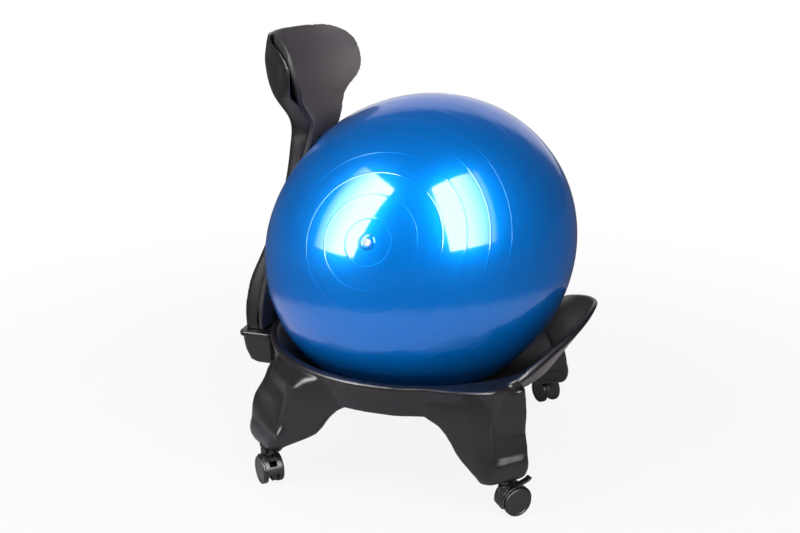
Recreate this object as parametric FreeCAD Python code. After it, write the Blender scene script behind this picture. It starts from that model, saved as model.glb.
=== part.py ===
import FreeCAD, Part
import math
import os

# Balance ball chair: an inflated ball wedged in a four-legged moulded base, with a
# moulded backrest in a socket at the rear and a twin-wheel caster under each leg.
# Millimetres. Z is up and the floor is Z = 0. The sitter faces -Y, and X is sideways.
# It is drawn around the centre of the round seat rim, and saved with its origin on the floor
# midway between the tip of the front lip and the back of the socket.

Vec = FreeCAD.Vector

origin_y = 7.5

# Ball: an egg, because the backrest and the front lip squeeze it
ball_side = 275.0          # half width across X
ball_long = 285.0          # half length along its long axis
ball_short = 262.0         # half height across the long axis
ball_tilt = 38.0           # the long axis drops this many degrees towards the rear
ball_y = 6.5
ball_z = 379.0
ball_wall = 2.0
seat_gap = 0.6             # running gap between the ball and everything that cradles it

# Valve of the ball, in the middle of its side
valve_rise = 17.0          # degrees above the horizontal, facing -X
valve_turn = 1.4           # degrees from -X towards the rear
valve_hole_r = 4.2
valve_hole_depth = 22.0
valve_well_r = 7.0
valve_collar_r = 12.0
valve_collar_rise = 1.4
plug_gap = 0.15
plug_head_r = 7.0
plug_head_rise = 2.2

# Base
rim_r = 278.0              # round part of the seat rim
rim_z = 226.0              # top of the rim
rim_band = 14.0            # width of the flat rim around the bowl
skirt_z = 172.0            # lower edge of the skirt between the legs
skirt_draft = 8.0
floor_r = 104.0            # flat floor of the bowl
floor_z = 129.0
heel_r = 148.0             # end of the round heel that follows the floor
heel_z = 143.0
slope_sag = 9.0            # the bowl's side hangs this much under a straight cone
bowl_wall = 10.0
belly_r = 246.0            # outer end of the shell under the bowl
lip_heel_r = 236.0         # the front lip leaves the bowl at this radius
# Front lip: side position, plan position and height of its edge, thickness
lip_rows = [
    (0, -305.0, 302.0, 12.0),
    (50, -298.5, 294.5, 13.0),
    (100, -281.0, 282.0, 16.0),
    (150, -254.5, 265.0, 19.0),
    (186, -233.5, 250.0, 21.0),
    (208, -214.0, 236.0, 20.0),
]

# Legs
foot_z = 62.0
foot_x = 223.5
front_foot_y = -204.5
rear_foot_y = 220.5
recess_depth = 7.0
scoop_depth = 9.0

# Sockets, stems and casters
sleeve_r = 7.5
sleeve_depth = 34.0
sleeve_flange_r = 9.5
sleeve_flange = 1.6
sleeve_gap = 0.1
stem_r = 5.5
stem_gap = 0.1
stem_length = 29.0
stem_collar_r = 9.0
stem_collar = 3.0
pintle_r = 4.0
pintle_gap = 0.05
wheel_r = 25.0
wheel_inner = 9.2          # inner face of a wheel's tread, from the caster's middle
wheel_outer = 19.0
axle_r = 3.0
axle_gap = 0.05
trail = 20.0               # wheel axle behind the swivel axis
hood_gap = 0.9
hood_wall = 1.6
hood_half = 15.0
web_half = 4.2
boss_r = 8.0
boss_top = 55.0
boss_bottom = 33.0
lever_half = 5.5
lever_wall = 3.0
lever_slot_gap = 0.6
lever_pin_r = 1.5
lever_u = 9.0              # lever pivot, behind the axle
lever_z = 47.5
lever_rise = 12.0          # the lever points this many degrees up when it is off
lever_reach = 26.0
# Where each caster trails at rest, in degrees around Z from +X
corners = {
    "rear_right": (-foot_x, rear_foot_y, -136.0),
    "front_right": (-foot_x, front_foot_y, -45.0),
    "front_left": (foot_x, front_foot_y, 42.0),
    "rear_left": (foot_x, rear_foot_y, 115.0),
}
braked = ("rear_right", "front_right")

# Rear socket box and the backrest that stands in it
land_y = 262.0             # flat land at the back of the base
socket_half = 92.0
socket_back = 323.0
socket_top = 213.0
socket_bottom = 148.0
collar_half = 96.0
collar_back = 327.0
collar_height = 11.0
flange_reach = 44.0
flange_half = 76.0
flange_wall = 6.0
tenon_half = 66.0
tenon_front = 290.0
tenon_back = 311.0
tenon_bottom = 164.0
tenon_gap = 0.5
shoulder_gap = 0.3
panel_wall = 14.0
bolt_r = 4.0
bolt_gap = 0.2
bolt_x = 42.0
bolt_y = 300.5
bolt_head_r = 8.0
bolt_head = 8.0
bolt_reach = 44.0
nut_half = 6.5
nut_wall = 6.0
nut_z = 182.0
screw_r = 2.5
screw_head_r = 5.0
screw_head = 2.5
screw_reach = 14.0
screw_xs = (-58.0, 0.0, 58.0)

# Front view outline of the backrest above its shoulder: half width at each height
post_outline = [
    (80, 213), (78, 262), (71, 330), (64, 410), (60, 490), (61, 560), (69, 602), (84, 622),
    (108, 640), (132, 656), (147, 671), (155, 687), (157, 704), (154, 724), (143, 743),
    (124, 756), (103, 760.5), (75, 757), (40, 751),
]
post_dip = 749.0
# Side view of the backrest. Each row is height, front middle, front sag, back middle, back sag,
# with the sags at the half width of the same row.
post_rows = [
    (213, 284, 1, 324, 3, 80),
    (262, 283, 1, 324, 3, 78),
    (305, 276, 2, 316, 4, 75),
    (350, 264, 4, 298, 5, 70),
    (400, 245, 6, 277, 6, 66),
    (450, 230, 8, 260, 7, 62),
    (500, 219, 11, 247, 7, 60),
    (550, 206, 15, 239, 8, 61),
    (600, 195, 22, 238, 16, 76),
    (650, 227, 56, 269, 46, 128),
    (700, 247, 63, 279, 70, 150),
    (745, 257, 67, 266, 70, 152),
    (785, 262, 68, 255, 72, 152),
]
back_round = 9.0           # edge radius of the rear shell
shell_wall = 6.0
hollow_bottom = 238.0
hollow_top = 684.0
post_trim = 8.0            # how far the sweep runs past the outline before it is trimmed

os.makedirs("parts", exist_ok=True)


def save(shape, node):
    placed = shape.copy()
    placed.translate(Vec(0, -origin_y, 0))
    placed.exportStep("parts/" + node + ".step")


def cylinder(radius, height, base, axis=Vec(0, 0, 1)):
    return Part.makeCylinder(radius, height, base, axis)


def box(x0, x1, y0, y1, z0, z1):
    return Part.makeBox(x1 - x0, y1 - y0, z1 - z0, Vec(x0, y0, z0))


def rounded_quad(corner_points, radii, z):
    """Four plan corners joined by straight sides and round corners."""
    count = len(corner_points)
    points = [Vec(x, y, z) for x, y in corner_points]
    starts = []
    ends = []
    mids = []
    for i in range(count):
        here = points[i]
        before = (points[i - 1] - here).normalize()
        after = (points[(i + 1) % count] - here).normalize()
        half_turn = before.getAngle(after) / 2
        radius = radii[i]
        reach = radius / math.tan(half_turn)
        starts.append(here + before * reach)
        ends.append(here + after * reach)
        bisector = (before + after).normalize()
        mids.append(here + bisector * (radius / math.sin(half_turn) - radius))
    edges = []
    for i in range(count):
        edges.append(Part.Arc(starts[i], mids[i], ends[i]).toShape())
        edges.append(Part.LineSegment(ends[i], starts[(i + 1) % count]).toShape())
    return Part.Wire(edges)


def mirrored(shape):
    return shape.mirror(Vec(0, 0, 0), Vec(1, 0, 0))


def valve_axis():
    rise = math.radians(valve_rise)
    turn = math.radians(valve_turn)
    return Vec(-math.cos(rise) * math.cos(turn), math.cos(rise) * math.sin(turn), math.sin(rise))


def ball_egg(gap):
    """The ball's egg shape, larger by the gap."""
    sphere = Part.makeSphere(1.0)
    tilt = math.radians(ball_tilt)
    a = ball_long + gap
    b = ball_short + gap
    matrix = FreeCAD.Matrix(
        ball_side + gap, 0, 0, 0,
        0, a * math.cos(tilt), b * math.sin(tilt), ball_y,
        0, -a * math.sin(tilt), b * math.cos(tilt), ball_z,
        0, 0, 0, 1)
    return sphere.transformGeometry(matrix)


def ball_surface_distance(direction):
    """Distance from the ball's centre to its skin along a unit direction."""
    tilt = math.radians(ball_tilt)
    along = direction.y * math.cos(tilt) - direction.z * math.sin(tilt)
    across = direction.y * math.sin(tilt) + direction.z * math.cos(tilt)
    total = (direction.x / ball_side) ** 2 + (along / ball_long) ** 2 + (across / ball_short) ** 2
    return 1 / math.sqrt(total)


def rim_curve(inset, z):
    """Plan of the seat rim: a round arc behind, nearly straight sides, a corner over each front leg."""
    low = math.radians(-4)
    side = [(-rim_r * math.cos(low), rim_r * math.sin(low)), (-267, -75), (-262, -130), (-254, -166)]
    front = [side[-1], (-244, -187), (-224, -203), (-160, -227), (-80, -241), (0, -246)]

    def moved(points, flip):
        result = []
        for x, y in points:
            keep = 1 - inset / math.hypot(x, y)
            result.append(Vec(x * keep * flip, y * keep, z))
        return result

    def spline(points, start, end):
        curve = Part.BSplineCurve()
        curve.interpolate(points, InitialTangent=start, FinalTangent=end)
        return curve.toShape()

    leave = Vec(math.sin(low), -math.cos(low), 0)
    turn = Vec(0.30, -0.95, 0)
    edges = []
    for flip in (1, -1):
        bend = Vec(turn.x * flip, turn.y, 0)
        edges.append(spline(moved(side, flip), Vec(leave.x * flip, leave.y, 0), bend))
        edges.append(spline(moved(front, flip), bend, Vec(flip, 0, 0)))
    right, left = moved(side[:1], 1)[0], moved(side[:1], -1)[0]
    rear = Part.Arc(left, Vec(0, rim_r - inset, z), right).toShape()
    return Part.Wire(Part.__sortEdges__([rear, edges[0], edges[1], edges[3], edges[2]]))


def bowl_slope():
    """Centre and radius of the arc that the side of the bowl follows, in radius and height."""
    r0, z0 = heel_r, heel_z
    r1, z1 = rim_r - rim_band, rim_z
    chord = math.hypot(r1 - r0, z1 - z0)
    radius = (chord ** 2 / 4 + slope_sag ** 2) / (2 * slope_sag)
    rise = math.atan2(z1 - z0, r1 - r0)
    lift = radius - slope_sag
    return (r0 + r1) / 2 - lift * math.sin(rise), (z0 + z1) / 2 + lift * math.cos(rise), radius


def bowl_height(r):
    centre_r, centre_z, radius = bowl_slope()
    return centre_z - math.sqrt(radius ** 2 - (r - centre_r) ** 2)


def bowl_line(drop, end_r):
    """The bowl's surface from its middle outwards, lowered by a distance, as a chain of points."""
    radii = [heel_r + (end_r - heel_r) * k / 6 for k in range(7)]
    points = [(0, floor_z - drop), (floor_r, floor_z - drop), (floor_r + 18, floor_z + 2.2 - drop),
              (floor_r + 32, floor_z + 7.2 - drop)]
    return points + [(r, bowl_height(r) - drop) for r in radii]


def ring_solid(line, top_z):
    """Solid of revolution between a line of points and a height above it."""
    points = [Vec(r, 0, z) for r, z in line]
    curve = Part.BSplineCurve()
    curve.interpolate(points[1:])
    floor = Part.LineSegment(points[0], points[1]).toShape()
    last = points[-1]
    roof = Part.makePolygon([last, Vec(last.x, 0, top_z), Vec(0, 0, top_z), points[0]])
    face = Part.Face(Part.Wire([floor, curve.toShape()] + roof.Edges))
    return face.revolve(Vec(0, 0, 0), Vec(0, 0, 1), 360)


def make_skirt():
    """Rim with its bead and groove, and the skirt under it. It is open at the front."""
    steps = [(skirt_draft + 3, skirt_z), (skirt_draft, skirt_z + 3), (3.4, rim_z - 14), (3.0, rim_z - 10.5),
             (0.6, rim_z - 9), (0, rim_z - 5), (0.8, rim_z - 1.8), (3.2, rim_z)]
    skirt = Part.makeLoft([rim_curve(inset, z) for inset, z in steps], True, True)
    return skirt.cut(box(-184, 184, -330, -120, skirt_z - 10, rim_z - 17))


def bowl_space():
    """Everything above the bowl's surface."""
    return ring_solid(bowl_line(0, rim_r - rim_band), rim_z + 60)


def front_leg():
    """Leg under the front corner on the sitter's right. Its outer face looks outwards and ahead."""
    radii = (8, 16, 12, 12)
    levels = [
        (rim_z - 11, [(-259, -58), (-259, -160), (-190, -236), (-120, -130)]),
        (196, [(-261, -64), (-261, -161), (-190, -239), (-124, -131)]),
        (skirt_z + 2, [(-262, -74), (-262, -162), (-191, -242), (-132, -132)]),
        (161, [(-262, -99), (-262, -163), (-192, -243), (-138, -136)]),
        (147, [(-262, -112), (-262, -164), (-192, -244), (-142, -142)]),
        (132, [(-262, -121), (-262, -165), (-193, -246), (-146, -148)]),
        (117, [(-262, -128), (-263, -168), (-194, -248), (-150, -154)]),
        (103, [(-262, -139), (-263, -173), (-195, -249), (-153, -160)]),
        (89, [(-261, -153), (-262, -180), (-196, -250), (-156, -167)]),
        (77, [(-257, -163), (-258, -187), (-197, -249), (-160, -173)]),
        (67, [(-252, -167), (-253, -189), (-198, -246), (-164, -177)]),
        (foot_z, [(-247, -170), (-248, -189), (-199, -241), (-168, -180)]),
    ]
    wires = [rounded_quad(points, radii, z) for z, points in levels]
    return Part.makeLoft(wires, True, True)


def rear_leg():
    """Leg under the rear corner on the sitter's right. Its foot flares out under a scooped face."""
    radii = (8, 14, 14, 12)
    levels = [
        (rim_z - 11, [(-259, 50), (-259, 124), (-186, 214), (-100, 140)]),
        (196, [(-261, 47), (-261, 146), (-190, 221), (-104, 134)]),
        (skirt_z + 2, [(-262, 45), (-262, 153), (-193, 226), (-112, 132)]),
        (162, [(-262, 66), (-262, 156), (-195, 231), (-124, 134)]),
        (150, [(-262, 78), (-262, 160), (-197, 239), (-134, 138)]),
        (138, [(-262, 87), (-262, 165), (-199, 248), (-142, 144)]),
        (126, [(-262, 94), (-262, 171), (-200, 256), (-148, 152)]),
        (113, [(-262, 105), (-262, 178), (-201, 261), (-152, 160)]),
        (104, [(-262, 120), (-262, 183), (-202, 264), (-155, 168)]),
        (95, [(-262, 137), (-262, 189), (-203, 266), (-157, 177)]),
        (84, [(-261, 157), (-261, 195), (-204, 266), (-160, 193)]),
        (74, [(-256, 172), (-257, 199), (-204, 264), (-166, 203)]),
        (67, [(-251, 176), (-252, 200), (-204, 260), (-170, 206)]),
        (foot_z, [(-247, 180), (-248, 201), (-205, 255), (-174, 208)]),
    ]
    wires = [rounded_quad(points, radii, z) for z, points in levels]
    return Part.makeLoft(wires, True, True)


def face_recess(outer, inner, outward, heights, share, depth):
    """Cutter for the sunk upper part of a leg's outer face, open towards the inner edge."""
    along = Vec(inner[0] - outer[0], inner[1] - outer[1], 0)
    out = Vec(outward[0], outward[1], 0).normalize()
    base = Vec(outer[0], outer[1], 0)
    wires = []
    for z, sink in zip(heights, (-3.0, depth * 0.8, depth, depth, depth * 0.8)):
        start = base + along * share - out * sink
        corners_here = [base + along * (share - 0.10) + out * 50, start, base + along * 1.5 - out * sink,
                        base + along * 1.5 + out * 50]
        corners_here.append(corners_here[0])
        wires.append(Part.makePolygon([Vec(p.x, p.y, z) for p in corners_here]))
    return Part.makeLoft(wires, True, True)


def lip_section(x, edge_y, edge_z, wall):
    """One slice of the front lip at a side position, from its heel on the bowl to its edge."""
    heel_y = -math.sqrt(lip_heel_r ** 2 - min(abs(x), 190) ** 2)
    heel = Vec(x, heel_y, bowl_height(lip_heel_r) + 1.0)
    edge = Vec(x, edge_y, edge_z)
    run = (edge - heel).normalize()
    under = Vec(0, run.z, -run.y)
    if under.z > 0:
        under = under * -1
    low_edge = edge + under * (wall * 0.7) - run * 3
    low_heel = heel + under * wall - run * 4
    nose = (edge + low_edge) * 0.5 + run * 4.5
    middle = (heel + edge) * 0.5 + under * 4
    return Part.Wire([
        Part.Arc(heel, middle, edge).toShape(),
        Part.Arc(edge, nose, low_edge).toShape(),
        Part.LineSegment(low_edge, low_heel).toShape(),
        Part.LineSegment(low_heel, heel).toShape(),
    ])


def make_lip():
    """The raised tongue in front of the ball, swept from corner to corner."""
    rows = [(-x, y, z, wall) for x, y, z, wall in reversed(lip_rows[1:])] + lip_rows
    return Part.makeLoft([lip_section(*row) for row in rows], True, False)


def make_base():
    front = front_leg().cut(face_recess((-262, -163), (-191, -244), (-0.70, -0.71),
                                        (100, 112, 125, 190, 217), 0.34, recess_depth))
    rear = rear_leg().cut(face_recess((-262, 158), (-196, 236), (-0.76, 0.65),
                                      (108, 132, 150, 190, 217), 0.22, scoop_depth))
    shell = ring_solid(bowl_line(bowl_wall, belly_r), rim_z - 10)
    body = make_skirt().multiFuse([shell, front, rear, mirrored(front), mirrored(rear)])
    body = body.cut(bowl_space())
    body = body.fuse(make_lip())
    body = body.cut(box(-collar_half - 2, collar_half + 2, land_y, rim_r + 40, skirt_z - 30, socket_top + 1))
    for x, y, turn in corners.values():
        body = body.cut(cylinder(sleeve_r + sleeve_gap, sleeve_depth + 1, Vec(x, y, foot_z - 1)))
        body = body.cut(cylinder(sleeve_flange_r + sleeve_gap, sleeve_flange + 1, Vec(x, y, foot_z - 1)))
    for x in screw_xs:
        body = body.cut(cylinder(screw_r, screw_reach + 1, Vec(x, land_y - flange_reach / 2, skirt_z - 1)))
    return body.removeSplitter()


def make_socket():
    """Box behind the base that takes the backrest's tenon, with a collar and a screwed flange."""
    front = land_y + shoulder_gap
    radii = (6, 6, 12, 12)
    levels = [
        (socket_bottom, socket_half - 15, socket_back - 28),
        (socket_bottom + 2.5, socket_half - 9, socket_back - 19),
        (socket_bottom + 8, socket_half - 5, socket_back - 11),
        (socket_bottom + 29, socket_half - 2, socket_back - 3),
        (socket_top - collar_height, socket_half, socket_back),
    ]
    wires = []
    for z, half, back in levels:
        wires.append(rounded_quad([(-half, front), (half, front), (half, back), (-half, back)], radii, z))
    body = Part.makeLoft(wires, True, True)
    rings = []
    for z, half, back in ((socket_top - collar_height, socket_half, socket_back),
                          (socket_top - collar_height + 2.5, collar_half, collar_back),
                          (socket_top - 1.5, collar_half, collar_back),
                          (socket_top, collar_half - 1.5, collar_back - 1.5)):
        rings.append(rounded_quad([(-half, front), (half, front), (half, back), (-half, back)], radii, z))
    collar = Part.makeLoft(rings, True, True)
    body = body.fuse(collar)
    flange = box(-flange_half, flange_half, land_y - flange_reach, front + 20,
                 skirt_z - shoulder_gap - flange_wall, skirt_z - shoulder_gap)
    body = body.fuse(flange)
    pocket = box(-tenon_half - tenon_gap, tenon_half + tenon_gap, tenon_front - tenon_gap,
                 tenon_back + tenon_gap, tenon_bottom - tenon_gap, socket_top + 1)
    body = body.cut(pocket)
    for x in (-bolt_x, bolt_x):
        body = body.cut(cylinder(bolt_r + bolt_gap, 40, Vec(x, bolt_y, socket_bottom - 5)))
    for x in screw_xs:
        y = land_y - flange_reach / 2
        body = body.cut(cylinder(screw_r + bolt_gap, 40, Vec(x, y, skirt_z - 20)))
    return body.removeSplitter()


def post_loft(rows):
    """Sweep of the backrest's curved section between a front and a back surface."""
    wires = []
    for z, front, front_sag, back, back_sag, half in rows:
        wide = half + post_trim
        reach = (wide / half) ** 2
        front_y = front - front_sag * reach
        back_y = back - back_sag * reach
        wires.append(Part.Wire([
            Part.Arc(Vec(-wide, front_y, z), Vec(0, front, z), Vec(wide, front_y, z)).toShape(),
            Part.LineSegment(Vec(wide, front_y, z), Vec(wide, back_y, z)).toShape(),
            Part.Arc(Vec(wide, back_y, z), Vec(0, back, z), Vec(-wide, back_y, z)).toShape(),
            Part.LineSegment(Vec(-wide, back_y, z), Vec(-wide, front_y, z)).toShape(),
        ]))
    return Part.makeLoft(wires, True, False)


def outline_prism(inset):
    """Front view of the backrest, moved inwards by the inset and drawn through from front to back."""
    chain = post_outline + [(0, post_dip)]
    right = []
    for i, (x, z) in enumerate(chain):
        x0, z0 = chain[max(i - 1, 0)]
        x1, z1 = chain[i + 1] if i + 1 < len(chain) else (-chain[-2][0], chain[-2][1])
        length = math.hypot(x1 - x0, z1 - z0)
        right.append(Vec(x - inset * (z1 - z0) / length, 100, z + inset * (x1 - x0) / length))
    right[-1] = Vec(0, 100, post_dip - inset)
    left = [Vec(-p.x, p.y, p.z) for p in reversed(right[:-1])]
    curve = Part.BSplineCurve()
    curve.interpolate(right + left)
    bottom = Part.LineSegment(left[-1], right[0]).toShape()
    face = Part.Face(Part.Wire([curve.toShape(), bottom]))
    return face.extrude(Vec(0, 300, 0))


def make_backrest():
    """Front panel and hollow rear shell, parted by a surface behind the front face."""
    prism = outline_prism(0)
    whole = post_loft(post_rows).common(prism)
    ahead = [(z, front + panel_wall - 60, sag, front + panel_wall, sag, half)
             for z, front, sag, back, back_sag, half in post_rows]
    slab = post_loft(ahead)
    low = box(-200, 200, 200, 400, 100, socket_top + shoulder_gap)
    panel = whole.common(slab).cut(low)
    shell = whole.cut(slab).cut(low)
    back_edges = [edge for edge in shell.Edges if edge.Length > 300 and edge.BoundBox.YMax > 310]
    back_edges += [edge for edge in shell.Edges if edge.Length > 300 and edge.BoundBox.ZMin > 700]
    shell = shell.makeFillet(back_round, back_edges)
    inner = [(z, front + panel_wall - 30, sag, back - shell_wall, back_sag, half)
             for z, front, sag, back, back_sag, half in post_rows]
    hollow = post_loft(inner).common(outline_prism(back_round))
    hollow = hollow.common(box(-200, 200, 100, 400, hollow_bottom, hollow_top))
    shell = shell.cut(hollow)
    tenon = box(-tenon_half, tenon_half, tenon_front, tenon_back, tenon_bottom, socket_top + shoulder_gap)
    root = box(-tenon_half, tenon_half, tenon_front + 12, tenon_back, tenon_bottom, socket_top + 20)
    shell = shell.multiFuse([tenon, root])
    for x in (-bolt_x, bolt_x):
        shell = shell.cut(cylinder(bolt_r + bolt_gap, bolt_reach, Vec(x, bolt_y, tenon_bottom - 1)))
        shell = shell.cut(box(x - nut_half - bolt_gap, x + nut_half + bolt_gap, bolt_y - nut_half - bolt_gap,
                              tenon_back + 1, nut_z - bolt_gap, nut_z + nut_wall + bolt_gap))
    return panel.removeSplitter(), shell.removeSplitter()


def make_bolts():
    bolts = []
    for x in (-bolt_x, bolt_x):
        head = cylinder(bolt_head_r, bolt_head, Vec(x, bolt_y, socket_bottom - bolt_head))
        head = head.makeChamfer(1.2, [edge for edge in head.Edges if edge.Curve.TypeId == "Part::GeomCircle"])
        drive = Part.Face(Part.makePolygon([
            Vec(x + 3.5 * math.cos(math.radians(60 * k)), bolt_y + 3.5 * math.sin(math.radians(60 * k)),
                socket_bottom - bolt_head - 1) for k in range(7)]))
        head = head.cut(drive.extrude(Vec(0, 0, 5)))
        bolts.append(head.fuse(cylinder(bolt_r, bolt_reach, Vec(x, bolt_y, socket_bottom))))
    return Part.makeCompound(bolts)


def make_nuts():
    nuts = []
    for x in (-bolt_x, bolt_x):
        nut = box(x - nut_half, x + nut_half, bolt_y - nut_half, bolt_y + nut_half, nut_z, nut_z + nut_wall)
        nuts.append(nut.cut(cylinder(bolt_r + bolt_gap / 2, 20, Vec(x, bolt_y, nut_z - 5))))
    return Part.makeCompound(nuts)


def make_screws():
    screws = []
    seat = skirt_z - shoulder_gap - flange_wall
    for x in screw_xs:
        y = land_y - flange_reach / 2
        head = Part.makeCone(screw_head_r * 0.7, screw_head_r, screw_head, Vec(x, y, seat - screw_head))
        shank = cylinder(screw_r - 0.05, flange_wall + screw_reach, Vec(x, y, seat))
        screws.append(head.fuse(shank))
    return Part.makeCompound(screws)


def make_sleeve(x, y):
    body = cylinder(sleeve_r, sleeve_depth, Vec(x, y, foot_z))
    body = body.fuse(cylinder(sleeve_flange_r, sleeve_flange, Vec(x, y, foot_z)))
    bore = cylinder(stem_r + stem_gap, sleeve_depth - 3, Vec(x, y, foot_z - 1))
    return body.cut(bore)


def make_stem(x, y):
    """Steel stem: a round pin with a grip ring above its collar and a pintle below it."""
    collar_top = foot_z - shoulder_gap
    body = cylinder(stem_r, stem_length, Vec(x, y, collar_top))
    body = body.makeChamfer(1.0, [body.Edges[0]])
    groove_z = collar_top + stem_length - 8
    groove = cylinder(stem_r + 1, 2.5, Vec(x, y, groove_z)).cut(cylinder(stem_r - 1, 4, Vec(x, y, groove_z - 1)))
    body = body.cut(groove)
    body = body.fuse(cylinder(stem_collar_r, stem_collar, Vec(x, y, collar_top - stem_collar)))
    pintle_top = collar_top - stem_collar
    pintle = cylinder(pintle_r, pintle_top - boss_bottom, Vec(x, y, boss_bottom))
    return body.fuse(pintle)


def swivel(shape, x, y, turn):
    """Turn a caster piece, drawn trailing along +X from the swivel axis, and set it under its leg."""
    placed = shape.copy()
    placed.rotate(Vec(0, 0, 0), Vec(0, 0, 1), turn)
    placed.translate(Vec(x, y, 0))
    return placed


def side_cylinder(radius, half, u, z):
    return cylinder(radius, 2 * half, Vec(u, -half, z), Vec(0, 1, 0))


def make_hood(with_brake):
    """Hood over both wheels, with the web that holds the axle and the boss that turns on the pintle."""
    inner = wheel_r + hood_gap
    outer = inner + hood_wall
    shell = side_cylinder(outer, hood_half, trail, wheel_r).cut(side_cylinder(inner, hood_half + 1, trail, wheel_r))
    open_below = Part.Face(Part.makePolygon([
        Vec(trail, -40, wheel_r), Vec(trail - 60, -40, wheel_r - 16), Vec(trail - 60, -40, -30),
        Vec(trail + 60, -40, -30), Vec(trail + 60, -40, wheel_r - 2), Vec(trail, -40, wheel_r)]))
    shell = shell.cut(open_below.extrude(Vec(0, 80, 0)))
    web = side_cylinder(inner + 0.5, web_half, trail, wheel_r)
    web = web.cut(box(-40, 80, -20, 20, -20, wheel_r - 14))
    boss = cylinder(boss_r, boss_top - boss_bottom, Vec(0, 0, boss_bottom))
    bridge = box(-2, trail, -web_half, web_half, boss_bottom, boss_top - 4)
    body = shell.multiFuse([web, boss, bridge])
    body = body.cut(cylinder(pintle_r + pintle_gap, 60, Vec(0, 0, boss_bottom - 20)))
    body = body.cut(side_cylinder(axle_r + axle_gap, 30, trail, wheel_r))
    if with_brake:
        half = lever_half + lever_slot_gap
        body = body.cut(box(trail + lever_u - 7, trail + 60, -half, half, wheel_r + 13, boss_top + 20))
        ear = side_cylinder(3.4, half + 2.2, trail + lever_u, lever_z)
        ear = ear.cut(side_cylinder(4.5, half, trail + lever_u, lever_z))
        body = body.fuse(ear)
        body = body.cut(side_cylinder(lever_pin_r + axle_gap, 20, trail + lever_u, lever_z))
    return body.removeSplitter()


def make_lever():
    """Brake lever: a curved tread plate on a pin, drawn in the released position."""
    rise = math.radians(lever_rise)
    pivot = Vec(trail + lever_u, 0, lever_z)
    out = Vec(math.cos(rise), 0, math.sin(rise))
    up = Vec(-math.sin(rise), 0, math.cos(rise))
    profile = [
        pivot - out * 2.5 - up * 1.2, pivot + out * 10 - up * 1.5, pivot + out * (lever_reach - 6) - up * 0.5,
        pivot + out * lever_reach + up * 3.2, pivot + out * (lever_reach - 2) + up * 5.0,
        pivot + out * (lever_reach - 9) + up * 2.6, pivot + out * 9 + up * 1.6, pivot - out * 2.5 + up * 1.6,
    ]
    face = Part.Face(Part.makePolygon([Vec(p.x, -lever_half, p.z) for p in profile + profile[:1]]))
    body = face.extrude(Vec(0, 2 * lever_half, 0))
    pin = side_cylinder(lever_pin_r, lever_half + lever_slot_gap + 1.8, trail + lever_u, lever_z)
    return body.fuse(pin).removeSplitter()


def make_wheel(side):
    """Wheel with a rolled tread edge, a dished face and a hub that reaches in to the web."""
    hub = web_half + 0.4
    profile = [
        Vec(axle_r + axle_gap, hub, 0), Vec(8, hub, 0), Vec(8, wheel_inner, 0), Vec(wheel_r - 1.2, wheel_inner, 0),
        Vec(wheel_r, wheel_inner + 1.2, 0), Vec(wheel_r, wheel_outer - 2.6, 0),
        Vec(wheel_r - 0.8, wheel_outer - 0.8, 0), Vec(wheel_r - 2.6, wheel_outer, 0),
        Vec(wheel_r - 4.6, wheel_outer, 0), Vec(wheel_r - 5.8, wheel_outer - 1.0, 0),
        Vec(4, wheel_outer - 0.6, 0), Vec(0, wheel_outer - 0.5, 0), Vec(0, wheel_outer - 3, 0),
        Vec(axle_r + axle_gap, wheel_outer - 3, 0),
    ]
    face = Part.Face(Part.makePolygon(profile + profile[:1]))
    body = face.revolve(Vec(0, 0, 0), Vec(0, 1, 0), 360)
    if side < 0:
        body = body.mirror(Vec(0, 0, 0), Vec(0, 1, 0))
    body.translate(Vec(trail, 0, wheel_r))
    return body


def make_axle():
    return side_cylinder(axle_r, wheel_outer - 3.5, trail, wheel_r)


def ball_body(inset):
    """The egg settled into the bowl and pressed in where the backrest leans on it, shrunk by the inset."""
    line = bowl_line(-seat_gap - inset, rim_r - rim_band)
    nest = ring_solid(line, rim_z + 5).fuse(cylinder(400, 500, Vec(0, 0, rim_z + 4)))
    body = ball_egg(-inset).common(nest)
    dent = [(z, front - seat_gap - inset, sag, 460, 1, half)
            for z, front, sag, back, back_sag, half in post_rows]
    return body.cut(post_loft(dent))


def make_ball():
    """The ball's air-tight skin, with a collar and a blind well for the valve."""
    body = ball_body(0).cut(ball_body(ball_wall))
    axis = valve_axis()
    centre = Vec(0, ball_y, ball_z)
    skin = ball_surface_distance(axis)
    well = valve_hole_depth + 2
    body = body.fuse(cylinder(valve_collar_r, 1.5 + valve_collar_rise, centre + axis * (skin - 1.5), axis))
    body = body.fuse(cylinder(valve_well_r, well, centre + axis * (skin - well + 1), axis))
    mouth = centre + axis * (skin + valve_collar_rise - valve_hole_depth)
    return body.cut(cylinder(valve_hole_r, valve_hole_depth + 1, mouth, axis))


def make_plug():
    """Valve plug: a tapered stopper with a flat head."""
    axis = valve_axis()
    centre = Vec(0, ball_y, ball_z)
    seat = centre + axis * (ball_surface_distance(axis) + valve_collar_rise + plug_gap)
    head = cylinder(plug_head_r, plug_head_rise, seat, axis)
    head = head.makeChamfer(0.8, [max(head.Edges, key=lambda edge: edge.CenterOfMass.dot(axis))])
    stopper = Part.makeCone(valve_hole_r - plug_gap, valve_hole_r - 1.2, valve_hole_depth - 4, seat, axis * -1)
    return head.fuse(stopper)


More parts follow.
